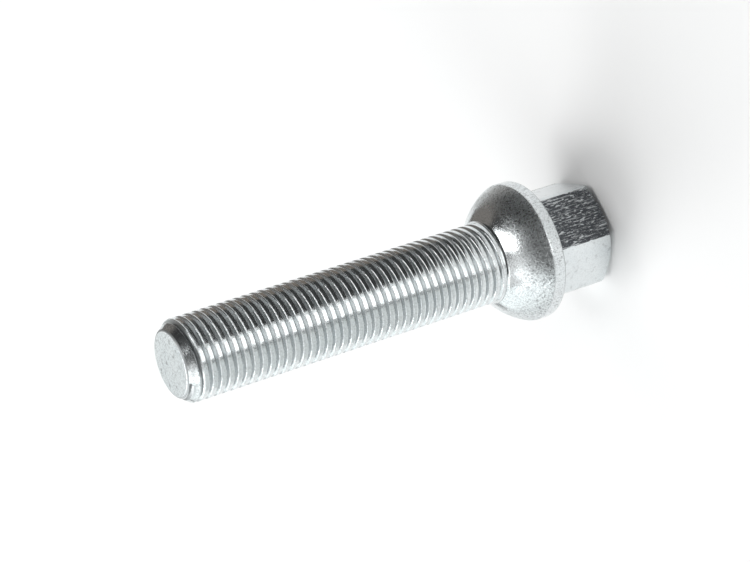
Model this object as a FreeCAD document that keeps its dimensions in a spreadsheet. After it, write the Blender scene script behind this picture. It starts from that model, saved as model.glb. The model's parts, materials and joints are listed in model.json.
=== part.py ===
import FreeCAD, Part
import Sketcher
import math
import os

# Wheel bolt with a ball seat, in one piece. The bolt stands on the end of its hexagon head, with the
# threaded shank pointing straight up +Z. The origin is the centre of the head's end face.
# The shank is drawn at the major diameter of the thread. Lengths are in millimetres, angles in degrees.

SIZES = {
    "hex_across_flats": 17.0,
    "hex_height": 12.55,
    "hex_chamfer_circle": 14.75,
    "hex_chamfer_angle": 30.0,
    "rim_width": 2.15,
    "rim_edge_radius": 0.35,
    "ball_radius": 13.0,
    "collar_inset": 0.9,
    "neck_radius": 0.8,
    "thread_diameter": 14.0,
    "shank_length": 60.2,
    "tip_chamfer_length": 1.9,
    "tip_chamfer_angle": 37.0,
    "tip_edge_radius": 0.6,
}

doc = FreeCAD.newDocument("wheel_bolt")

sheet = doc.addObject("Spreadsheet::Sheet", "Sizes")
for row, (name, value) in enumerate(SIZES.items(), start=1):
    sheet.set("A%d" % row, name)
    sheet.set("B%d" % row, str(value))
    sheet.setAlias("B%d" % row, name)
doc.recompute()

# The sketches are drawn at these sizes, read from the sheet, and then held by dimensions bound to it.
hex_across_flats = sheet.hex_across_flats
hex_height = sheet.hex_height
hex_chamfer_radius = sheet.hex_chamfer_circle / 2
hex_chamfer_slope = math.tan(math.radians(sheet.hex_chamfer_angle))
rim_round = sheet.rim_edge_radius
rim_radius = sheet.ball_radius - sheet.collar_inset
rim_edge = hex_height + sheet.rim_width
ball_radius = sheet.ball_radius
neck_radius = sheet.neck_radius
shank_radius = sheet.thread_diameter / 2
tip_chamfer_length = sheet.tip_chamfer_length
tip_chamfer_angle = math.radians(sheet.tip_chamfer_angle)
tip_round = sheet.tip_edge_radius

# The ball seat is a zone of a sphere centred on the axis. It starts at the edge of the rim, and shank_length
# is counted from where it would meet the shank. The neck radius rounds that corner.
ball_centre = rim_edge - math.sqrt(ball_radius**2 - rim_radius**2)
seat_end = ball_centre + math.sqrt(ball_radius**2 - shank_radius**2)
tip_height = seat_end + sheet.shank_length
neck_centre_radius = shank_radius + neck_radius
neck_centre = ball_centre + math.sqrt((ball_radius + neck_radius) ** 2 - neck_centre_radius**2)

RIM_RADIUS = "(Sizes.ball_radius - Sizes.collar_inset)"
SHANK_RADIUS = "(Sizes.thread_diameter / 2)"
RIM_EDGE = "Sizes.hex_height + Sizes.rim_width"
RIM_TO_CENTRE = f"sqrt(Sizes.ball_radius ^ 2 - {RIM_RADIUS} ^ 2)"
CENTRE_TO_SEAT_END = f"sqrt(Sizes.ball_radius ^ 2 - {SHANK_RADIUS} ^ 2)"
TIP_HEIGHT = f"{RIM_EDGE} - {RIM_TO_CENTRE} + {CENTRE_TO_SEAT_END} + Sizes.shank_length"

# How a sketch numbers the points of a curve, and its own origin and axes.
POINT = {"start": 1, "end": 2, "centre": 3}
ORIGIN = (-1, POINT["start"])
AXIS = {"across": -1, "up": -2}


def vector(across, up):
    return FreeCAD.Vector(across, up, 0)


def add_line(sketch, start, end):
    return sketch.addGeometry(Part.LineSegment(vector(*start), vector(*end)), False)


def add_circle(sketch, centre, radius):
    circle = Part.Circle(vector(*centre), FreeCAD.Vector(0, 0, 1), radius)
    return sketch.addGeometry(circle, True)


def add_arc(sketch, centre, radius, start_angle, end_angle):
    circle = Part.Circle(vector(*centre), FreeCAD.Vector(0, 0, 1), radius)
    return sketch.addGeometry(Part.ArcOfCircle(circle, start_angle, end_angle), False)


def start(curve):
    return (curve, POINT["start"])


def end(curve):
    return (curve, POINT["end"])


def centre(curve):
    return (curve, POINT["centre"])


def new_sketch(body, name, role):
    plane = next(plane for plane in body.Origin.OriginFeatures if plane.Role == role)
    sketch = body.newObject("Sketcher::SketchObject", name)
    sketch.AttachmentSupport = [(plane, "")]
    sketch.MapMode = "FlatFace"
    return sketch


def constrain(sketch, kind, *arguments):
    return sketch.addConstraint(Sketcher.Constraint(kind, *arguments))


def dimension(sketch, name, formula, kind, *arguments):
    index = constrain(sketch, kind, *arguments)
    sketch.renameConstraint(index, name)
    sketch.setExpression("Constraints." + name, formula)


def draw_hexagon(body):
    """Six flats around the axis, with one pair of flats facing +X and -X."""
    sketch = new_sketch(body, "HexagonSketch", "XY_Plane")
    corner_radius = hex_across_flats / math.sqrt(3)
    angles = [math.radians(30 + 60 * i) for i in range(6)]
    corners = [(corner_radius * math.cos(a), corner_radius * math.sin(a)) for a in angles]
    flats = [add_line(sketch, corners[i - 1], corners[i]) for i in range(6)]
    corner_circle = add_circle(sketch, (0, 0), corner_radius)
    for i in range(6):
        constrain(sketch, "Coincident", *end(flats[i - 1]), *start(flats[i]))
        constrain(sketch, "PointOnObject", *start(flats[i]), corner_circle)
    for flat in flats[1:]:
        constrain(sketch, "Equal", flats[0], flat)
    constrain(sketch, "Coincident", *centre(corner_circle), *ORIGIN)
    constrain(sketch, "Vertical", flats[0])
    dimension(
        sketch, "CornerRadius", "Sizes.hex_across_flats / sqrt(3)",
        "Radius", corner_circle, corner_radius,
    )
    return sketch


def draw_head_chamfer(body):
    """A triangle beside the axis: from a circle on the end face, the cone rises outwards past the corners."""
    sketch = new_sketch(body, "HeadChamferSketch", "XZ_Plane")
    reach = hex_across_flats
    rise = (reach - hex_chamfer_radius) * hex_chamfer_slope
    base = add_line(sketch, (hex_chamfer_radius, 0), (reach, 0))
    side = add_line(sketch, (reach, 0), (reach, rise))
    cone = add_line(sketch, (reach, rise), (hex_chamfer_radius, 0))
    constrain(sketch, "Coincident", *end(base), *start(side))
    constrain(sketch, "Coincident", *end(side), *start(cone))
    constrain(sketch, "Coincident", *end(cone), *start(base))
    constrain(sketch, "PointOnObject", *start(base), AXIS["across"])
    constrain(sketch, "Horizontal", base)
    constrain(sketch, "Vertical", side)
    dimension(
        sketch, "ChamferCircle", "Sizes.hex_chamfer_circle / 2",
        "DistanceX", *ORIGIN, *start(base), hex_chamfer_radius,
    )
    dimension(sketch, "CutReach", "Sizes.hex_across_flats", "DistanceX", *ORIGIN, *end(base), reach)
    dimension(
        sketch, "CutRise",
        "(Sizes.hex_across_flats - Sizes.hex_chamfer_circle / 2) * tan(Sizes.hex_chamfer_angle * 1deg)",
        "DistanceY", *start(side), *end(side), rise,
    )
    return sketch


def draw_turned_outline(body):
    """Half outline of collar, ball seat, neck, shank and tip, to be turned about the axis."""
    sketch = new_sketch(body, "TurnedSketch", "XZ_Plane")
    rim_angle = math.atan2(rim_edge - ball_centre, rim_radius)
    neck_angle = math.atan2(neck_centre - ball_centre, neck_centre_radius)
    chamfer_start = tip_height - tip_chamfer_length
    tip_corner = shank_radius - tip_chamfer_length * math.tan(tip_chamfer_angle)
    tip_flat = tip_corner - tip_round * (1 - math.sin(tip_chamfer_angle)) / math.cos(tip_chamfer_angle)
    chamfer_end = (
        tip_flat + tip_round * math.cos(tip_chamfer_angle),
        tip_height - tip_round * (1 - math.sin(tip_chamfer_angle)),
    )

    rim_face = add_line(sketch, (0, hex_height), (rim_radius - rim_round, hex_height))
    rim_corner = (rim_radius - rim_round, hex_height + rim_round)
    rim_curve = add_arc(sketch, rim_corner, rim_round, -math.pi / 2, 0)
    rim_side = add_line(sketch, (rim_radius, hex_height + rim_round), (rim_radius, rim_edge))
    ball = add_arc(sketch, (0, ball_centre), ball_radius, rim_angle, neck_angle)
    neck = add_arc(sketch, (neck_centre_radius, neck_centre), neck_radius, math.pi, math.pi + neck_angle)
    shank = add_line(sketch, (shank_radius, neck_centre), (shank_radius, chamfer_start))
    chamfer = add_line(sketch, (shank_radius, chamfer_start), chamfer_end)
    tip_curve = add_arc(
        sketch, (tip_flat, tip_height - tip_round), tip_round, tip_chamfer_angle, math.pi / 2
    )
    tip_face = add_line(sketch, (tip_flat, tip_height), (0, tip_height))
    axis = add_line(sketch, (0, tip_height), (0, hex_height))

    constrain(sketch, "Tangent", *end(rim_face), *start(rim_curve))
    constrain(sketch, "Tangent", *end(rim_curve), *start(rim_side))
    constrain(sketch, "Coincident", *end(rim_side), *start(ball))
    constrain(sketch, "Tangent", *end(ball), *end(neck))
    constrain(sketch, "Tangent", *start(neck), *start(shank))
    constrain(sketch, "Coincident", *end(shank), *start(chamfer))
    constrain(sketch, "Tangent", *end(chamfer), *start(tip_curve))
    constrain(sketch, "Tangent", *end(tip_curve), *start(tip_face))
    constrain(sketch, "Coincident", *end(tip_face), *start(axis))
    constrain(sketch, "Coincident", *end(axis), *start(rim_face))
    constrain(sketch, "Horizontal", rim_face)
    constrain(sketch, "Vertical", rim_side)
    constrain(sketch, "Vertical", shank)
    constrain(sketch, "Horizontal", tip_face)
    constrain(sketch, "PointOnObject", *start(axis), AXIS["up"])
    constrain(sketch, "PointOnObject", *end(axis), AXIS["up"])
    constrain(sketch, "PointOnObject", *centre(ball), AXIS["up"])

    dimension(
        sketch, "HeadHeight", "Sizes.hex_height",
        "DistanceY", *ORIGIN, *start(rim_face), hex_height,
    )
    dimension(sketch, "RimRound", "Sizes.rim_edge_radius", "Radius", rim_curve, rim_round)
    dimension(sketch, "RimRadius", RIM_RADIUS, "DistanceX", *ORIGIN, *end(rim_side), rim_radius)
    dimension(sketch, "RimEdge", RIM_EDGE, "DistanceY", *ORIGIN, *end(rim_side), rim_edge)
    dimension(sketch, "BallRadius", "Sizes.ball_radius", "Radius", ball, ball_radius)
    dimension(sketch, "NeckRadius", "Sizes.neck_radius", "Radius", neck, neck_radius)
    dimension(sketch, "ShankRadius", SHANK_RADIUS, "DistanceX", *ORIGIN, *end(shank), shank_radius)
    dimension(
        sketch, "TipChamferLength", "Sizes.tip_chamfer_length",
        "DistanceY", *end(shank), *start(tip_face), tip_chamfer_length,
    )
    dimension(
        sketch, "TipChamferAngle", "90deg + Sizes.tip_chamfer_angle * 1deg",
        "Angle", chamfer, math.pi / 2 + tip_chamfer_angle,
    )
    dimension(sketch, "TipRound", "Sizes.tip_edge_radius", "Radius", tip_curve, tip_round)
    dimension(sketch, "TipHeight", TIP_HEIGHT, "DistanceY", *ORIGIN, *end(tip_face), tip_height)
    return sketch


body = doc.addObject("PartDesign::Body", "wheel_bolt")
body.Label = "wheel_bolt"

hexagon = draw_hexagon(body)
head = body.newObject("PartDesign::Pad", "HexagonHead")
head.Profile = hexagon
head.setExpression("Length", "Sizes.hex_height")
doc.recompute()
plain_head_volume = body.Shape.Volume

chamfer_outline = draw_head_chamfer(body)
head_chamfer = body.newObject("PartDesign::Groove", "HeadChamfer")
head_chamfer.Profile = chamfer_outline
head_chamfer.ReferenceAxis = (chamfer_outline, ["V_Axis"])
head_chamfer.Angle = 360
doc.recompute()
if body.Shape.Volume >= plain_head_volume:
    raise RuntimeError("the chamfer on the end of the head cut nothing")

turned_outline = draw_turned_outline(body)
turned_shank = body.newObject("PartDesign::Revolution", "CollarBallAndShank")
turned_shank.Profile = turned_outline
turned_shank.ReferenceAxis = (turned_outline, ["V_Axis"])
turned_shank.Angle = 360
doc.recompute()

for item in doc.Objects:
    if "Invalid" in item.State or "Error" in item.State:
        raise RuntimeError("%s failed: %s" % (item.Name, item.State))
if body.Shape.isNull() or not body.Shape.isValid() or len(body.Shape.Solids) != 1:
    raise RuntimeError("the bolt is not one valid solid")

os.makedirs("parts", exist_ok=True)
body.Shape.exportStep("parts/%s.step" % body.Label)
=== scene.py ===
import functools
import json
import math
from types import SimpleNamespace

import bmesh
import bpy
import numpy as np
from mathutils import Matrix, Vector


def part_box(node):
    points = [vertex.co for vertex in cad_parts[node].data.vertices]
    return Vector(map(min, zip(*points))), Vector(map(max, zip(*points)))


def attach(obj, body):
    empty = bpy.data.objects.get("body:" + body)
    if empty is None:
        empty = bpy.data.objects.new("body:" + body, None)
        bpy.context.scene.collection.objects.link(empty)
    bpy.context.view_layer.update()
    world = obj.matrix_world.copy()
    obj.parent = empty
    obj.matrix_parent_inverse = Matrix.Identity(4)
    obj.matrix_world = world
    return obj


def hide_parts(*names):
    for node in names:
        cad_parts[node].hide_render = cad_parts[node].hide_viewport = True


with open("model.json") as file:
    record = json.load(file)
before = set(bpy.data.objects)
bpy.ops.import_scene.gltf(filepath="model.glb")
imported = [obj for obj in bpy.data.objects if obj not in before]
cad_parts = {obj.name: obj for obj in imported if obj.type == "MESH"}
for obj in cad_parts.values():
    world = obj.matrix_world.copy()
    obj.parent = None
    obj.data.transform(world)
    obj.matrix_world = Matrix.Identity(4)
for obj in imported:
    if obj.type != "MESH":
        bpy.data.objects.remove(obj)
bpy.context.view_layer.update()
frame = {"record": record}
mounts = {mount["name"]: mount for mount in frame["record"]["mounts"]}

# Sizes of the bolt, in millimetres. Heights count from the end of the head, up the axis to the tip.
MM = 0.001
HEX_FLATS = 17.0
HEX_HEIGHT = 12.55
HEX_CORNER_ROUND = 0.14
HEX_CHAMFER_RADIUS = 7.375
HEX_CHAMFER_SLOPE = math.tan(math.radians(30))
RIM_RADIUS = 12.1
RIM_WIDTH = 2.15
RIM_LOWER_ROUND = 0.35
RIM_BEVEL = 0.1
BALL_RADIUS = 13.0
BALL_BEVEL_ANGLE = 0.01
NECK_ROUND = 0.8
SHANK_RADIUS = mounts["thread_shank"]["dims"]["r_mm"]
TIP_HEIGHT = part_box("wheel_bolt")[1][2] / MM
TIP_CHAMFER_LENGTH = 1.9
TIP_CHAMFER_ANGLE = 37
TIP_CHAMFER_SLOPE = math.tan(math.radians(TIP_CHAMFER_ANGLE))
TIP_CHAMFER_EDGE_ROUND = 0.1
TIP_ROUND = 0.6

RIM_EDGE = HEX_HEIGHT + RIM_WIDTH
BALL_CENTRE = RIM_EDGE - math.sqrt(BALL_RADIUS**2 - RIM_RADIUS**2)
NECK_CENTRE_RADIUS = SHANK_RADIUS + NECK_ROUND
NECK_CENTRE = BALL_CENTRE + math.sqrt((BALL_RADIUS + NECK_ROUND) ** 2 - NECK_CENTRE_RADIUS**2)
CHAMFER_START = TIP_HEIGHT - TIP_CHAMFER_LENGTH
TIP_CORNER = SHANK_RADIUS - TIP_CHAMFER_LENGTH * TIP_CHAMFER_SLOPE
TIP_ROUND_CENTRE = TIP_CORNER - TIP_ROUND * math.tan(math.radians(90 - TIP_CHAMFER_ANGLE) / 2)
TIP_ROUND_START = TIP_HEIGHT - TIP_ROUND * (1 - math.sin(math.radians(TIP_CHAMFER_ANGLE)))

# The right-hand thread. The groove is a shallow V with rounded edges, about half as wide as the pitch.
PITCH = 1.5
GROOVE_HALF_WIDTH = 0.33
GROOVE_DEPTH = 0.56
GROOVE_WALL_SLOPE = math.sqrt(3)
GROOVE_EDGE_ROUND = 0.03
GROOVE_ROOT_ROUND = 0.03
GROOVE_HEIGHT_AT_X = 78.032

# The groove's ends. Its start on the chamfer and the length of that start are in turns.
GROOVE_START_TURNS = 1 + 241 / 360
GROOVE_START_LENGTH = 0.007
GROOVE_FIRST_SHARE = 0.7
GROOVE_FADE_AT_TIP = 0.12
GROOVE_LAST_HEIGHT = 21.5
GROOVE_FULL_HEIGHT = 22.4

# The step beside the groove's start: its depth, the height over which it comes in on the chamfer, and the
# turns after the start between which it goes out.
START_STEP = 0.1
START_STEP_RISE = 0.4
START_STEP_FULL_TURNS = 0.02
START_STEP_LAST_TURNS = 0.25

# The mesh. The thread's rows are given by their distances from the groove's middle, in millimetres.
COLUMNS = 144
HEX_SIDES = 6
HEX_CROWDING = 0.93
RIM_ROUND_ROWS = 7
RIM_ROWS = 5
BALL_ROWS = 24
NECK_ROWS = 8
TIP_ROUND_ROWS = 9
THREAD_ROWS = (0.0, 0.05, 0.27, 0.315, 0.345, 0.39, 0.56)
MERGE_DISTANCE = 0.002
SLIVER_LENGTH = 0.001


def smooth_step(value, low, high):
    """0 below low, 1 above high, and 3x^2 - 2x^3 of the share x between them."""
    share = np.clip((value - low) / (high - low), 0, 1)
    return share * share * (3 - 2 * share)


def soft_positive(value, width):
    """The positive part of value with a round corner.

    It is half the sum of value and the root of value squared plus width squared.
    """
    return 0.5 * (value + np.sqrt(value * value + width * width))


def round_angles():
    """Evenly spaced angles about the axis, one for the middle of each column of the mesh."""
    return 2 * np.pi * (np.arange(COLUMNS) + 0.5) / COLUMNS


def hex_angles():
    """As many angles, crowded at the hexagon's corners: a side's share x, plus a sine of 2 pi x."""
    columns = COLUMNS // HEX_SIDES
    share = (np.arange(columns) + 0.5) / columns
    crowded = share + HEX_CROWDING * np.sin(2 * np.pi * share) / (2 * np.pi)
    return (np.arange(HEX_SIDES)[:, None] * np.pi / 3 + (crowded - 0.5) * np.pi / 3).ravel()


def hex_radius(angles):
    """Distance from the axis to a hexagon with rounded corners, flat towards +X.

    On a flat it is half the width across flats over the cosine of the angle from the flat's middle. At a
    corner it is the far meeting of the ray with a circle of the corner's round, set in from the corner.
    """
    half = HEX_FLATS / 2
    from_flat = (angles + np.pi / 6) % (np.pi / 3) - np.pi / 6
    flat = half / np.cos(from_flat)
    corner_centre = (half - HEX_CORNER_ROUND) / math.cos(math.pi / 6)
    from_corner = np.pi / 6 - np.abs(from_flat)
    across = corner_centre * np.sin(from_corner)
    inside = np.clip(HEX_CORNER_ROUND**2 - across**2, 0, None)
    corner = corner_centre * np.cos(from_corner) + np.sqrt(inside)
    tangent_angle = math.pi / 6 - math.atan2(corner_centre * math.sin(math.pi / 6), half)
    return np.where(from_corner < tangent_angle, corner, flat)


def hexagon_head():
    """Rows of the head from the centre of its end face to the collar.

    Each column runs out along the end face to the chamfer's circle, up the chamfer's cone to the hexagon,
    and up the hexagon's side. Rows lie close together beside the edges.
    """
    angles = hex_angles()
    side = hex_radius(angles)
    chamfer_top = (side - HEX_CHAMFER_RADIUS) * HEX_CHAMFER_SLOPE
    end_share = np.array([0, 0.3, 0.6, 0.9, 0.99, 1])[:, None]
    chamfer_share = np.array([0.04, 0.3, 0.6, 0.9, 0.98])[:, None]
    side_share = np.array([0, 0.004, 0.015, 0.1, 0.25, 0.4, 0.55, 0.7, 0.85, 0.96, 0.99, 1])[:, None]
    radii = np.concatenate([
        end_share * HEX_CHAMFER_RADIUS + 0 * side,
        HEX_CHAMFER_RADIUS + chamfer_share * (side - HEX_CHAMFER_RADIUS),
        side + 0 * side_share,
    ])
    heights = np.concatenate([
        0 * end_share + 0 * side,
        chamfer_share * chamfer_top,
        chamfer_top + side_share * (HEX_HEIGHT - chamfer_top),
    ])
    return radii, angles + 0 * radii, heights


def collar_underside():
    """Rows of the flat ring under the collar, from the hexagon out to the rim's round.

    The radius goes in shares from the hexagon to the circle, and the angles from the head's to even ones.
    """
    inner = hex_radius(hex_angles())
    outer = RIM_RADIUS - RIM_LOWER_ROUND
    share = np.array([0, 0.05, 0.4, 0.7, 0.95, 1])[:, None]
    angles = hex_angles() + share * (round_angles() - np.pi / 6 - hex_angles())
    radii = inner + share * (outer - inner)
    return radii, angles, HEX_HEIGHT + 0 * radii


def arc(centre, radius, start, end, count):
    """Points of an arc beside the axis: centre plus radius times cosine and sine of even angles."""
    turn = np.linspace(start, end, count)
    return centre[0] + radius * np.cos(turn), centre[1] + radius * np.sin(turn)


def collar_and_neck():
    """Rows of the rim, the ball seat and the neck: one outline of arcs turned about the axis.

    A small bevel lies between the rim and the ball.
    """
    round_top = HEX_HEIGHT + RIM_LOWER_ROUND
    rim_round_centre = (RIM_RADIUS - RIM_LOWER_ROUND, round_top)
    rim_round = arc(rim_round_centre, RIM_LOWER_ROUND, -np.pi / 2, 0, RIM_ROUND_ROWS)
    rim_side = (np.full(RIM_ROWS, RIM_RADIUS), np.linspace(round_top, RIM_EDGE - RIM_BEVEL, RIM_ROWS))
    rim_angle = math.atan2(RIM_EDGE - BALL_CENTRE, RIM_RADIUS)
    neck_angle = math.atan2(NECK_CENTRE - BALL_CENTRE, NECK_CENTRE_RADIUS)
    ball = arc((0, BALL_CENTRE), BALL_RADIUS, rim_angle + BALL_BEVEL_ANGLE, neck_angle, BALL_ROWS)
    neck = arc((NECK_CENTRE_RADIUS, NECK_CENTRE), NECK_ROUND, np.pi + neck_angle, np.pi, NECK_ROWS)
    outline = [np.concatenate(parts) for parts in zip(rim_round, rim_side, ball, neck)]
    angles = round_angles() - np.pi / 6
    radii = outline[0][:, None] + 0 * angles
    heights = outline[1][:, None] + 0 * angles
    return radii, angles + 0 * radii, heights


def shank_outline(heights):
    """Radius of the shank without its groove: a cylinder, then the tip's cone, with a soft edge between."""
    past_edge = soft_positive(heights - CHAMFER_START, TIP_CHAMFER_EDGE_ROUND)
    return SHANK_RADIUS - past_edge * TIP_CHAMFER_SLOPE


def groove_depth(heights, angles):
    """Depth of the thread's groove below the shank's outline.

    The groove's middle climbs one pitch a turn. Across it the depth falls as a V with 60 degrees between
    its walls. It starts short on the tip's chamfer, beside a step, deepens over its first turn, and fades
    out above the neck.
    """
    turns = (heights - GROOVE_HEIGHT_AT_X) / PITCH - angles / (2 * np.pi)
    nearest = np.round(turns)
    aside = np.abs(turns - nearest) * PITCH
    aside = np.sqrt(aside**2 + GROOVE_ROOT_ROUND**2) - GROOVE_ROOT_ROUND
    before_start = GROOVE_START_TURNS - (nearest + angles / (2 * np.pi))
    first_turn = GROOVE_FIRST_SHARE + (1 - GROOVE_FIRST_SHARE) * smooth_step(before_start, 0, 1)
    wall = soft_positive((GROOVE_HALF_WIDTH * first_turn - aside) * GROOVE_WALL_SLOPE, GROOVE_EDGE_ROUND)
    start = smooth_step(before_start, 0, GROOVE_START_LENGTH)
    end = smooth_step(heights, GROOVE_LAST_HEIGHT, GROOVE_FULL_HEIGHT)
    below_round = smooth_step(TIP_ROUND_START - heights, 0, GROOVE_FADE_AT_TIP)
    on_chamfer = smooth_step(heights, CHAMFER_START, CHAMFER_START + START_STEP_RISE)
    step_gone = smooth_step(before_start, START_STEP_FULL_TURNS, START_STEP_LAST_TURNS)
    step = START_STEP * on_chamfer * (1 - step_gone)
    return (np.minimum(wall, GROOVE_DEPTH) + step) * start * end * below_round


def threaded_shank():
    """Rows of the shank, which follow the thread: a row climbs one pitch a turn.

    The rows of one pitch lie at the groove's root, walls and edges. Rows past either end of the shank are
    held at its end ring, where they fall together.
    """
    angles = round_angles()
    half = np.array(THREAD_ROWS) / PITCH
    one_pitch = np.concatenate([half, 1 - half[:0:-1]])
    first = math.floor((NECK_CENTRE - GROOVE_HEIGHT_AT_X) / PITCH) - 1
    last = math.ceil((TIP_HEIGHT - GROOVE_HEIGHT_AT_X) / PITCH)
    rows = (np.arange(first, last + 1)[:, None] + one_pitch).ravel()
    heights = GROOVE_HEIGHT_AT_X + PITCH * (rows[:, None] + angles / (2 * np.pi))
    heights = np.clip(heights, NECK_CENTRE, TIP_ROUND_START)
    radii = shank_outline(heights) - groove_depth(heights, angles)
    return radii, angles + 0 * radii, heights, len(one_pitch)


def tip_face():
    """Rows of the tip, from the shank's end ring over the arc of its round edge to the flat's centre."""
    angles = round_angles()
    round_centre = (TIP_ROUND_CENTRE, TIP_HEIGHT - TIP_ROUND)
    edge = arc(round_centre, TIP_ROUND, math.radians(TIP_CHAMFER_ANGLE), np.pi / 2, TIP_ROUND_ROWS)
    # The first ring is the shank's last one, which its soft edge puts a hair inside the arc.
    edge[0][0] = shank_outline(TIP_ROUND_START)
    flat = TIP_ROUND_CENTRE * np.array([0.98, 0.8, 0.6, 0.4, 0.2, 0])
    radii = np.concatenate([edge[0], flat])[:, None] + 0 * angles
    heights = np.concatenate([edge[1], 0 * flat + TIP_HEIGHT])[:, None] + 0 * angles
    return radii, angles + 0 * radii, heights


def band_mesh(radii, angles, heights, climb=0):
    """Points and faces of a band of rows closed around the axis.

    A point is radius times cosine and sine of its angle, at its height. Where the rows climb, the last
    column joins the first one climb rows higher.
    """
    rows, columns = radii.shape
    points = np.stack([radii * np.cos(angles), radii * np.sin(angles), heights], -1).reshape(-1, 3)
    row = np.arange(rows - 1)[:, None]
    column = np.arange(columns)[None, :]
    beside = (column + 1) % columns
    lift = np.where(beside == 0, climb, 0)
    here = row * columns + column
    over = np.minimum(row + lift, rows - 1) * columns + beside
    over_up = np.minimum(row + 1 + lift, rows - 1) * columns + beside
    faces = np.stack([here, over, over_up, here + columns], -1).reshape(-1, 4)
    return points, faces


def flat_keeping_normals(mesh):
    """A normal for each point: the sum of its faces' normals, each times the face's area.

    Wide faces outweigh the narrow ones at their edges, so that flats stay flat up to their rounded edges.
    """
    sides = np.empty(len(mesh.polygons), int)
    areas = np.empty(len(mesh.polygons))
    normals = np.empty(len(mesh.polygons) * 3)
    corners = np.empty(len(mesh.loops), int)
    mesh.polygons.foreach_get("loop_total", sides)
    mesh.polygons.foreach_get("area", areas)
    mesh.polygons.foreach_get("normal", normals)
    mesh.loops.foreach_get("vertex_index", corners)
    weighted = normals.reshape(-1, 3) * areas[:, None]
    total = np.zeros((len(mesh.vertices), 3))
    np.add.at(total, corners, np.repeat(weighted, sides, axis=0))
    return total / np.linalg.norm(total, axis=1)[:, None]


def mark_groove(mesh):
    """Write the groove's depth at each point, in millimetres, to the attribute "groove"."""
    points = np.empty(len(mesh.vertices) * 3)
    mesh.vertices.foreach_get("co", points)
    points = points.reshape(-1, 3) / MM
    angles = np.arctan2(points[:, 1], points[:, 0]) % (2 * np.pi)
    heights = points[:, 2]
    on_shank = (heights > NECK_CENTRE) & (heights < TIP_HEIGHT)
    depth = np.where(on_shank, groove_depth(heights, angles), 0)
    mesh.attributes.new("groove", "FLOAT", "POINT").data.foreach_set("value", depth)


def bolt_mesh():
    """The whole bolt as one closed mesh: its bands joined where their end rings meet."""
    bands = [
        band_mesh(*hexagon_head()),
        band_mesh(*collar_underside()),
        band_mesh(*collar_and_neck()),
        band_mesh(*threaded_shank()),
        band_mesh(*tip_face()),
    ]
    offsets = np.cumsum([0] + [len(points) for points, faces in bands])
    points = np.concatenate([points for points, faces in bands]) * MM
    faces = np.concatenate([faces + offset for (_, faces), offset in zip(bands, offsets)])
    mesh = bpy.data.meshes.new("wheel_bolt_plated")
    mesh.from_pydata(points.tolist(), [], faces.tolist())
    shape = bmesh.new()
    shape.from_mesh(mesh)
    bmesh.ops.remove_doubles(shape, verts=shape.verts, dist=MERGE_DISTANCE * MM)
    bmesh.ops.dissolve_degenerate(shape, edges=shape.edges, dist=SLIVER_LENGTH * MM)
    bmesh.ops.recalc_face_normals(shape, faces=shape.faces)
    shape.to_mesh(mesh)
    shape.free()
    mesh.polygons.foreach_set("use_smooth", np.ones(len(mesh.polygons), bool))
    mesh.normals_split_custom_set_from_vertices(flat_keeping_normals(mesh))
    mark_groove(mesh)
    mesh.update()
    return mesh


class Nodes:
    """Short ways to add nodes to one material's tree and to join them."""

    def __init__(self, material):
        self.tree = material.node_tree

    def add(self, kind, **settings):
        node = self.tree.nodes.new(kind)
        for name, value in settings.items():
            setattr(node, name, value)
        return node

    def feed(self, socket, value):
        """Join another node's output to the socket, or set the socket's own value."""
        if isinstance(value, bpy.types.NodeSocket):
            self.tree.links.new(value, socket)
        else:
            socket.default_value = value

    def math(self, operation, first, second=0.0):
        node = self.add("ShaderNodeMath", operation=operation)
        self.feed(node.inputs[0], first)
        self.feed(node.inputs[1], second)
        return node.outputs[0]

    def ramp(self, value, low, high, to_low=0.0, to_high=1.0):
        """A smooth step from to_low, where value is low, to to_high, where it is high."""
        node = self.add("ShaderNodeMapRange", interpolation_type="SMOOTHSTEP")
        self.feed(node.inputs["Value"], value)
        self.feed(node.inputs["From Min"], low)
        self.feed(node.inputs["From Max"], high)
        self.feed(node.inputs["To Min"], to_low)
        self.feed(node.inputs["To Max"], to_high)
        return node.outputs[0]

    def noise(self, place, scale, detail=2.0, stretch=(1, 1, 1)):
        mapping = self.add("ShaderNodeMapping")
        self.feed(mapping.inputs["Vector"], place)
        mapping.inputs["Scale"].default_value = stretch
        node = self.add("ShaderNodeTexNoise")
        self.feed(node.inputs["Vector"], mapping.outputs[0])
        node.inputs["Scale"].default_value = scale
        node.inputs["Detail"].default_value = detail
        return node.outputs[0]

    def vector(self, operation, first, second=(0, 0, 0)):
        node = self.add("ShaderNodeVectorMath", operation=operation)
        self.feed(node.inputs[0], first)
        self.feed(node.inputs[1], second)
        return node.outputs["Value" if operation == "DOT_PRODUCT" else "Vector"]

    def minus(self, first, second):
        return self.math("SUBTRACT", first, second)

    def times(self, *factors):
        return functools.reduce(lambda first, second: self.math("MULTIPLY", first, second), factors)

    def plus(self, *terms):
        return functools.reduce(lambda first, second: self.math("ADD", first, second), terms)

    def most(self, *values):
        return functools.reduce(lambda first, second: self.math("MAXIMUM", first, second), values)

    def mix(self, share, first, second):
        node = self.add("ShaderNodeMix", data_type="RGBA")
        self.feed(node.inputs["Factor"], share)
        self.feed(node.inputs["A"], first)
        self.feed(node.inputs["B"], second)
        return node.outputs["Result"]

    def marks(self, texture, zone, begins, full, strength):
        """Marks inside the zone, where the texture passes from begins to full, of this strength."""
        return self.times(self.ramp(texture, begins, full), zone, strength)


# Colours of the plate, which drifts between two, of the stain in its marks, which also serves as painted
# shade in the groove, at the rim's foot and on the tip's edge, and of the worn side, whose dark steel is
# painted shade.
PLATE_BLUE = (0.74, 0.785, 0.80, 1)
PLATE_PALE = (0.82, 0.845, 0.85, 1)
STAIN_AND_PAINTED_SHADE = (0.14, 0.145, 0.15, 1)
WORN_SIDE_PAINTED_SHADE = (0.085, 0.09, 0.098, 1)

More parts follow.
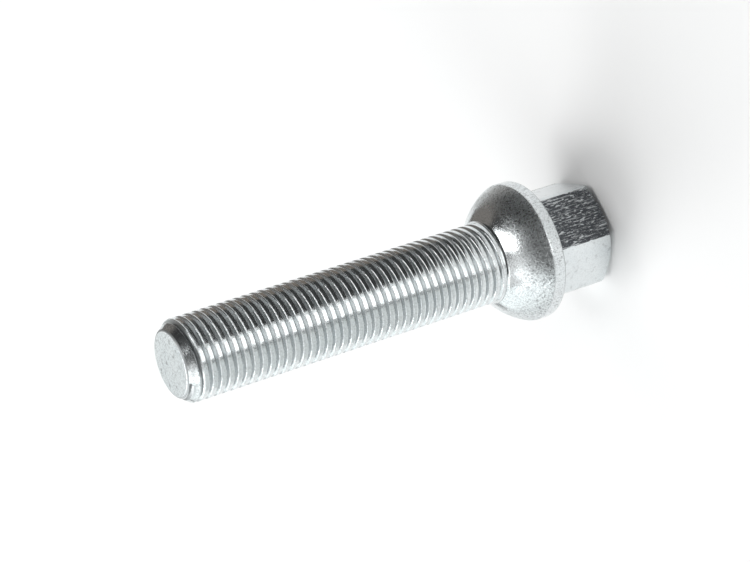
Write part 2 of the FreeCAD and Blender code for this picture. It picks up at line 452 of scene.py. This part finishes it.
# Ends of the plate's zones, in millimetres up the axis. A mask rises from the first height of a pair to the
# second.
HEAD_END = (HEX_HEIGHT + 0.1, HEX_HEIGHT)
BALL_START = (RIM_EDGE - 0.1, RIM_EDGE + 0.3)
BALL_END = (NECK_CENTRE, NECK_CENTRE - 0.8)
SEAT_END = (NECK_CENTRE - 1.2, NECK_CENTRE - 3.2)
# A band at the rim's foot, which carries painted shade.
RIM_SHADE_START = (HEX_HEIGHT - 0.02, HEX_HEIGHT + 0.01)
RIM_SHADE_END = (HEX_HEIGHT + 0.34, HEX_HEIGHT + 0.16)
CHAMFER_EDGE = (CHAMFER_START - 0.2, CHAMFER_START)
TIP_START = (TIP_HEIGHT - 0.3, TIP_HEIGHT - 0.05)
# A band on the tip's round edge, which carries painted shade and more roughness.
TIP_LINE_START = (TIP_ROUND_START - 0.05, TIP_ROUND_START + 0.05)
TIP_LINE_END = (TIP_HEIGHT - 0.005, TIP_HEIGHT - 0.03)

# Depths of the thread's groove, in millimetres, between which its walls and its root count as reached.
WALL_DEPTHS = (0.05, 0.14)
ROOT_DEPTHS = (0.18, 0.42)

# The worn side of the hexagon, scratched and darkened with painted shade: the direction that it faces and the
# level one along it, and, in millimetres, how far its edge wanders in from the corners and where it begins
# beside them and above the head's end.
WORN_SIDE = (0.5, -math.sqrt(3) / 2, 0)
WORN_ALONG = (math.sqrt(3) / 2, 0.5, 0)
WORN_EDGE_WANDER = 0.3
WORN_EDGE_PATCHES = (0.5, 0.7)
WORN_FROM_CORNER = (0.08, 0.14)
WORN_FROM_END = (0.02, 0.1)

# Marks in the plate: the noise's values where a mark begins and is full, and how much stain shows there,
# from 0 for none to 1 for stain alone. The last five values give painted shade in the stain's colour.
SEAT_PITS = (0.53, 0.68, 0.7)
SEAT_GRAIN = (0.44, 0.62, 0.45)
HEAD_PATCHES = (0.54, 0.74, 0.34)
RIM_PITS = (0.54, 0.68, 0.6)
TIP_DENTS = (0.56, 0.7, 0.55)
CHAMFER_PITS = (0.46, 0.62, 0.4)
PLATE_GRAIN = (0.44, 0.64)
PLATE_GRAIN_STAIN = 0.3
HEAD_GRAIN_STAIN = 0.12
# Painted shade at the rim's foot, in the stain's colour.
RIM_PAINTED_SHADE = 0.75
# Painted shade in the groove: on its walls, at its root and in its start on the chamfer.
WALL_PAINTED_SHADE = 0.2
ROOT_PAINTED_SHADE = 0.22
CHAMFER_GROOVE_PAINTED_SHADE = 0.7
# Painted shade on the tip's round edge.
TIP_LINE_PAINTED_SHADE = 0.6

# Shiny marks on the worn side: the noise's values where a mark begins and is full, and how much of the plate
# shows at each.
LONG_SHINE = (0.54, 0.68, 0.0, 0.5)
SHORT_SHINE = (0.54, 0.68, 0.0, 0.85)
GRAIN_SHINE = (0.58, 0.7, 0.0, 0.5)

# Roughness of the plate, which drifts between two values, and what is added to it.
CLOUD_RANGE = (0.3, 0.7)
PLATE_ROUGHNESS = (0.1, 0.15)
BALL_ROUGHNESS = 0.05
SEAT_ROUGHNESS = 0.1
SEAT_PIT_ROUGHNESS = (0.42, 0.56, 0.13)
GROOVE_ROUGHNESS = 0.12
CHAMFER_ROUGHNESS = 0.08
TIP_LINE_ROUGHNESS = 0.3

# Shifts that set the pits and the patches apart from the other noises, in metres.
PITS_SHIFT = (0.5, 0.5, 0.5)
PATCHES_SHIFT = (0.2, 0.7, 0.4)

# Heights of the plate's fine relief, in millimetres.
GRAIN_RELIEF = 0.014
SEAT_GRAIN_RELIEF = 0.02
SCRATCH_RELIEF = 0.03
PIT_RELIEF = 0.05
DENT_RELIEF = 0.025


def plate_zones(nodes, height, groove):
    """Masks of the bolt's parts, each 1 on its part and 0 off it, by height and by depth of the groove."""

    def reached(low, high):
        return nodes.ramp(height, low * MM, high * MM)

    head = reached(*HEAD_END)
    above_rim = reached(*BALL_START)
    chamfer_and_tip = reached(*CHAMFER_EDGE)
    tip = reached(*TIP_START)
    return SimpleNamespace(
        head=head,
        rim=nodes.minus(nodes.minus(1.0, head), above_rim),
        # The rim's foot, for painted shade.
        rim_shade_band=nodes.times(reached(*RIM_SHADE_START), reached(*RIM_SHADE_END)),
        ball=nodes.times(above_rim, reached(*BALL_END)),
        seat=nodes.times(above_rim, reached(*SEAT_END)),
        wall=nodes.ramp(groove, *WALL_DEPTHS),
        root=nodes.ramp(groove, *ROOT_DEPTHS),
        chamfer_and_tip=chamfer_and_tip,
        chamfer=nodes.minus(chamfer_and_tip, tip),
        tip=tip,
        # The tip's round edge, for painted shade and roughness.
        tip_line=nodes.times(reached(*TIP_LINE_START), reached(*TIP_LINE_END)),
    )


def plate_textures(nodes, place):
    """Noises for the plate's marks, with their scales in features a metre. Scratches run along the axis."""
    pits_place = nodes.vector("ADD", place, PITS_SHIFT)
    patches_place = nodes.vector("ADD", place, PATCHES_SHIFT)
    return SimpleNamespace(
        cloud=nodes.noise(place, scale=220, detail=4),
        grain=nodes.noise(place, scale=4200, detail=3),
        pits=nodes.noise(pits_place, scale=2300, detail=3),
        long_scratches=nodes.noise(place, scale=5200, detail=3, stretch=(1, 1, 0.06)),
        short_scratches=nodes.noise(place, scale=3300, detail=3, stretch=(1, 1, 0.3)),
        dents=nodes.noise(place, scale=1100, detail=3),
        patches=nodes.noise(patches_place, scale=900, detail=3),
    )


def worn_and_shaded_zone(nodes, place, height, zones, textures):
    """Mask of the hexagon's worn side, scratched and darkened with painted shade, with ragged edges at its
    two corners.

    The side reaches 30 degrees either way of the direction that it faces. A place's distance in from the
    nearer corner is its distance out in that direction times the tangent of 30 degrees, less its distance
    along the side from the middle.
    """
    side_half = nodes.times(nodes.vector("DOT_PRODUCT", place, WORN_SIDE), math.tan(math.pi / 6))
    from_middle = nodes.math("ABSOLUTE", nodes.vector("DOT_PRODUCT", place, WORN_ALONG))
    from_corner = nodes.minus(side_half, from_middle)
    wander = nodes.times(nodes.ramp(textures.patches, *WORN_EDGE_PATCHES), WORN_EDGE_WANDER * MM)
    corner_low, corner_high = WORN_FROM_CORNER
    end_low, end_high = WORN_FROM_END
    return nodes.times(
        zones.head,
        nodes.ramp(nodes.minus(from_corner, wander), corner_low * MM, corner_high * MM),
        nodes.ramp(height, end_low * MM, end_high * MM),
    )


def plate_colour(nodes, zones, textures, worn_and_shaded):
    """The plate's colour: a drifting tint, stained or given painted shade by the strongest mark, and painted
    shade on the worn side.
    """
    tint = nodes.mix(textures.cloud, PLATE_BLUE, PLATE_PALE)
    grain_stain = nodes.ramp(zones.head, 0.0, 1.0, PLATE_GRAIN_STAIN, HEAD_GRAIN_STAIN)
    # The strongest mark: real stains, pits, dents and grain, or painted shade at the rim's foot, in the
    # groove and on the tip's edge.
    stained_and_shaded = nodes.most(
        nodes.marks(textures.pits, zones.seat, *SEAT_PITS),
        nodes.marks(textures.grain, zones.seat, *SEAT_GRAIN),
        nodes.marks(textures.patches, zones.head, *HEAD_PATCHES),
        nodes.times(nodes.ramp(textures.grain, *PLATE_GRAIN), grain_stain),
        nodes.marks(textures.pits, zones.rim, *RIM_PITS),
        # Painted shade at the rim's foot.
        nodes.times(zones.rim_shade_band, RIM_PAINTED_SHADE),
        nodes.marks(textures.dents, zones.tip, *TIP_DENTS),
        nodes.marks(textures.pits, zones.chamfer, *CHAMFER_PITS),
        # Painted shade in the groove and in its start on the chamfer.
        nodes.times(zones.wall, WALL_PAINTED_SHADE),
        nodes.times(zones.root, ROOT_PAINTED_SHADE),
        nodes.times(zones.wall, zones.chamfer_and_tip, CHAMFER_GROOVE_PAINTED_SHADE),
        # Painted shade on the tip's round edge.
        nodes.times(zones.tip_line, TIP_LINE_PAINTED_SHADE),
    )
    shiny = nodes.most(
        nodes.ramp(textures.long_scratches, *LONG_SHINE),
        nodes.ramp(textures.short_scratches, *SHORT_SHINE),
        nodes.ramp(textures.grain, *GRAIN_SHINE),
    )
    # Painted shade: the worn side turns to dark steel, except where its shiny scratches leave the plate.
    painted_shade_share = nodes.times(worn_and_shaded, nodes.minus(1.0, shiny))
    return nodes.mix(painted_shade_share, nodes.mix(stained_and_shaded, tint, STAIN_AND_PAINTED_SHADE), WORN_SIDE_PAINTED_SHADE)


def plate_roughness(nodes, zones, textures):
    """The plate's roughness: a drifting value, and more on the ball, in the groove and at the tip."""
    return nodes.plus(
        nodes.ramp(textures.cloud, *CLOUD_RANGE, *PLATE_ROUGHNESS),
        nodes.times(zones.ball, BALL_ROUGHNESS),
        nodes.times(zones.seat, SEAT_ROUGHNESS),
        nodes.marks(textures.pits, zones.seat, *SEAT_PIT_ROUGHNESS),
        nodes.times(zones.wall, GROOVE_ROUGHNESS),
        nodes.times(zones.chamfer_and_tip, CHAMFER_ROUGHNESS),
        nodes.times(zones.tip_line, TIP_LINE_ROUGHNESS),
    )


def plate_relief(nodes, zones, textures, worn_and_shaded):
    """The plate's fine relief: grain, with scratches on the worn side, pits on the seat, dents on the tip."""
    grain_height = nodes.plus(GRAIN_RELIEF, nodes.times(zones.seat, SEAT_GRAIN_RELIEF))
    bump = nodes.add("ShaderNodeBump")
    bump.inputs["Strength"].default_value = 1.0
    bump.inputs["Distance"].default_value = MM
    nodes.feed(bump.inputs["Height"], nodes.plus(
        nodes.times(textures.grain, grain_height),
        nodes.times(textures.short_scratches, worn_and_shaded, SCRATCH_RELIEF),
        nodes.times(textures.pits, zones.seat, PIT_RELIEF),
        nodes.times(textures.dents, zones.tip, DENT_RELIEF),
    ))
    return bump.outputs[0]


def zinc_plate():
    """Bright zinc plate with a blue cast: thread with painted shade in its groove, speckled ball seat, one
    worn side of the head darkened with painted shade.
    """
    material = bpy.data.materials.new("zinc_plate")
    material.use_nodes = True
    nodes = Nodes(material)
    shader = material.node_tree.nodes["Principled BSDF"]
    place = nodes.add("ShaderNodeTexCoord").outputs["Object"]
    split = nodes.add("ShaderNodeSeparateXYZ")
    nodes.feed(split.inputs[0], place)
    height = split.outputs["Z"]
    groove = nodes.add("ShaderNodeAttribute", attribute_name="groove").outputs["Fac"]
    zones = plate_zones(nodes, height, groove)
    textures = plate_textures(nodes, place)
    worn_and_shaded = worn_and_shaded_zone(nodes, place, height, zones, textures)
    nodes.feed(shader.inputs["Base Color"], plate_colour(nodes, zones, textures, worn_and_shaded))
    shader.inputs["Metallic"].default_value = 1.0
    nodes.feed(shader.inputs["Roughness"], plate_roughness(nodes, zones, textures))
    nodes.feed(shader.inputs["Normal"], plate_relief(nodes, zones, textures, worn_and_shaded))
    return material


bolt = bpy.data.objects.new("wheel_bolt_plated", bolt_mesh())
bpy.context.scene.collection.objects.link(bolt)
bolt.data.materials.append(zinc_plate())
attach(bolt, "root")
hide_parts("wheel_bolt")


# The camera looks down on the bolt and is turned about its line of sight, so that the standing bolt lies
# across the picture with its tip at the lower left. Its lengths are in millimetres, its angles in degrees.
CAMERA_PLACE = (80.69, -344.13, 223.96)
CAMERA_HEADING = 102.764
CAMERA_PITCH = -27.2505
CAMERA_ROLL = -107.802
CAMERA_LENS = 115.22
CAMERA_SENSOR = 36
CAMERA_CLIP_START = 10


def photo_camera():
    """A camera aimed by heading and pitch, its right and up directions then turned by the roll."""
    heading = math.radians(CAMERA_HEADING)
    pitch = math.radians(CAMERA_PITCH)
    ahead = Vector((
        math.cos(pitch) * math.cos(heading),
        math.cos(pitch) * math.sin(heading),
        math.sin(pitch),
    ))
    level = ahead.cross(Vector((0, 0, 1))).normalized()
    upright = level.cross(ahead)
    roll = math.radians(CAMERA_ROLL)
    right = level * math.cos(roll) + upright * math.sin(roll)
    up = right.cross(ahead)
    camera = bpy.data.objects.new("photo_camera", bpy.data.cameras.new("photo_camera"))
    camera.data.lens = CAMERA_LENS
    camera.data.sensor_width = CAMERA_SENSOR
    camera.data.clip_start = CAMERA_CLIP_START * MM
    turn = Matrix((right, up, -ahead)).transposed()
    camera.matrix_world = Matrix.Translation(Vector(CAMERA_PLACE) * MM) @ turn.to_4x4()
    bpy.context.scene.collection.objects.link(camera)
    return camera


bpy.context.scene.camera = photo_camera()

# The stage. A heading counts in degrees from the camera's side of the bolt, towards the side that is lower
# in the picture. Distances and heights are in millimetres.
CAMERA_SIDE = -76.8
LIGHT_CENTRE = Vector((0, 0, 45 * MM))
LAMP_DISTANCE = 2000
LAMP_WHITE = (1.0, 1.0, 1.0)
LAMP_COOL = (0.96, 1.0, 1.0)
LAMP_PALE_COOL = (0.97, 1.0, 1.0)
LAMP_WARM = (1.0, 0.9, 0.82)
WORLD_GREY = (0.04, 0.04, 0.04, 1)
FLOOR_WHITE = (0.93, 0.93, 0.93)
FLOOR_GLOW = 0.04
FLOOR_REACH = 4000
FLOOR_CORNER_HEADINGS = (315, 225, 135, 45)
CARD_HEIGHT = 0.5


def floor_point(heading, distance):
    """The point of the floor in that heading, at that distance from the bolt's axis."""
    turn = math.radians(CAMERA_SIDE - heading)
    return Vector((distance * math.cos(turn), distance * math.sin(turn), 0)) * MM


def soft_box(name, heading, rise, width, height, radiance, colour=LAMP_WHITE):
    """A flat soft lamp that faces the bolt, as wide and high in degrees as seen from it.

    The rise is the angle of its middle above the floor, and its brightness is the given radiance.
    """
    lamp = bpy.data.lights.new(name, "AREA")
    lamp.shape = "RECTANGLE"
    lamp.size = 2 * LAMP_DISTANCE * MM * math.tan(math.radians(width / 2))
    lamp.size_y = 2 * LAMP_DISTANCE * MM * math.tan(math.radians(height / 2))
    lamp.energy = radiance * math.pi * lamp.size * lamp.size_y
    lamp.color = colour
    lift = math.radians(rise)
    above = Vector((0, 0, LAMP_DISTANCE * MM * math.sin(lift)))
    way = floor_point(heading, LAMP_DISTANCE) * math.cos(lift) + above
    box = bpy.data.objects.new(name, lamp)
    box.location = LIGHT_CENTRE + way
    box.rotation_euler = way.to_track_quat("Z", "Y").to_euler()
    bpy.context.scene.collection.objects.link(box)


soft_box("key_box", heading=152, rise=54, width=34, height=30, radiance=4.8)
soft_box("side_box", heading=108, rise=24, width=84, height=42, radiance=1.25, colour=LAMP_COOL)
soft_box("near_side_box", heading=63, rise=33, width=22, height=58, radiance=0.9, colour=LAMP_PALE_COOL)
soft_box("back_box", heading=177, rise=24, width=52, height=40, radiance=0.82, colour=LAMP_COOL)
soft_box("upper_back_box", heading=-145, rise=25, width=60, height=44, radiance=0.18, colour=LAMP_WARM)
soft_box("tip_box", heading=-66, rise=69, width=44, height=22, radiance=3.1)
soft_box("top_box", heading=66, rise=60, width=56, height=40, radiance=0.75)
soft_box("front_top_box", heading=-5, rise=32, width=60, height=40, radiance=0.07)

world = bpy.data.worlds.new("studio")
world.use_nodes = True
world.node_tree.nodes["Background"].inputs["Color"].default_value = WORLD_GREY
bpy.context.scene.world = world


def plain_material(name, colour, glow=0.0):
    """A matt material of one colour for the stage, which may glow."""
    material = bpy.data.materials.new(name)
    material.use_nodes = True
    shader = material.node_tree.nodes["Principled BSDF"]
    shader.inputs["Base Color"].default_value = (*colour, 1)
    shader.inputs["Roughness"].default_value = 1.0
    shader.inputs["Specular IOR Level"].default_value = 0.0
    shader.inputs["Emission Color"].default_value = (1, 1, 1, 1)
    shader.inputs["Emission Strength"].default_value = glow
    return material


def flat_sheet(name, corners, height, material):
    """A flat sheet with these corners, at this height. It belongs to the stage."""
    mesh = bpy.data.meshes.new(name)
    lift = Vector((0, 0, height * MM))
    mesh.from_pydata([corner + lift for corner in corners], [], [range(len(corners))])
    mesh.materials.append(material)
    sheet = bpy.data.objects.new(name, mesh)
    bpy.context.scene.collection.objects.link(sheet)
    return sheet


def white_floor():
    """A white matt floor. What the camera, mirrors and glass see of it glows a little, to be white."""
    material = plain_material("white_floor", FLOOR_WHITE)
    nodes = Nodes(material)
    path = nodes.add("ShaderNodeLightPath").outputs
    seen = nodes.plus(path["Is Camera Ray"], path["Is Glossy Ray"], path["Is Transmission Ray"])
    shader = material.node_tree.nodes["Principled BSDF"]
    nodes.feed(shader.inputs["Emission Strength"], nodes.times(seen, FLOOR_GLOW))
    corners = [floor_point(heading, FLOOR_REACH) for heading in FLOOR_CORNER_HEADINGS]
    flat_sheet("white_floor", corners, 0, material)


def floor_card(name, corners, colour, glow=0.0):
    """A card just over the floor, its corners given by heading and distance. Only reflections show it."""
    points = [floor_point(heading, distance) for heading, distance in corners]
    card = flat_sheet(name, points, CARD_HEIGHT, plain_material(name, colour, glow))
    card.visible_camera = False
    card.visible_diffuse = False
    card.visible_shadow = False


white_floor()

# The cards lie outside the picture's frame, for the metal to mirror: dark and brown ones beyond its upper
# edge, a luminous one beyond its right edge, and grey and pale ones from there to beyond its lower edge.
floor_card(
    "dark_card",
    corners=[(-105, 52), (-22, 73), (-20, 230), (-62, 250), (-105, 230)],
    colour=(0.05, 0.05, 0.05),
)
floor_card(
    "brown_card",
    corners=[(-105, 52), (-105, 230), (-140, 230), (-140, 105)],
    colour=(0.2, 0.172, 0.15),
)
floor_card(
    "front_card",
    corners=[(-12, 64), (20, 49), (20, 215), (-12, 215)],
    colour=(0.9, 0.9, 0.9),
    glow=0.9,
)
floor_card(
    "grey_card",
    corners=[(20, 49), (31, 49), (31, 230), (20, 215)],
    colour=(0.36, 0.37, 0.37),
)
floor_card(
    "pale_card",
    corners=[(31, 49), (45, 51), (75, 68), (110, 68), (110, 230), (67, 250), (31, 230)],
    colour=(0.7, 0.72, 0.72),
)

bpy.context.scene.view_settings.view_transform = "Standard"
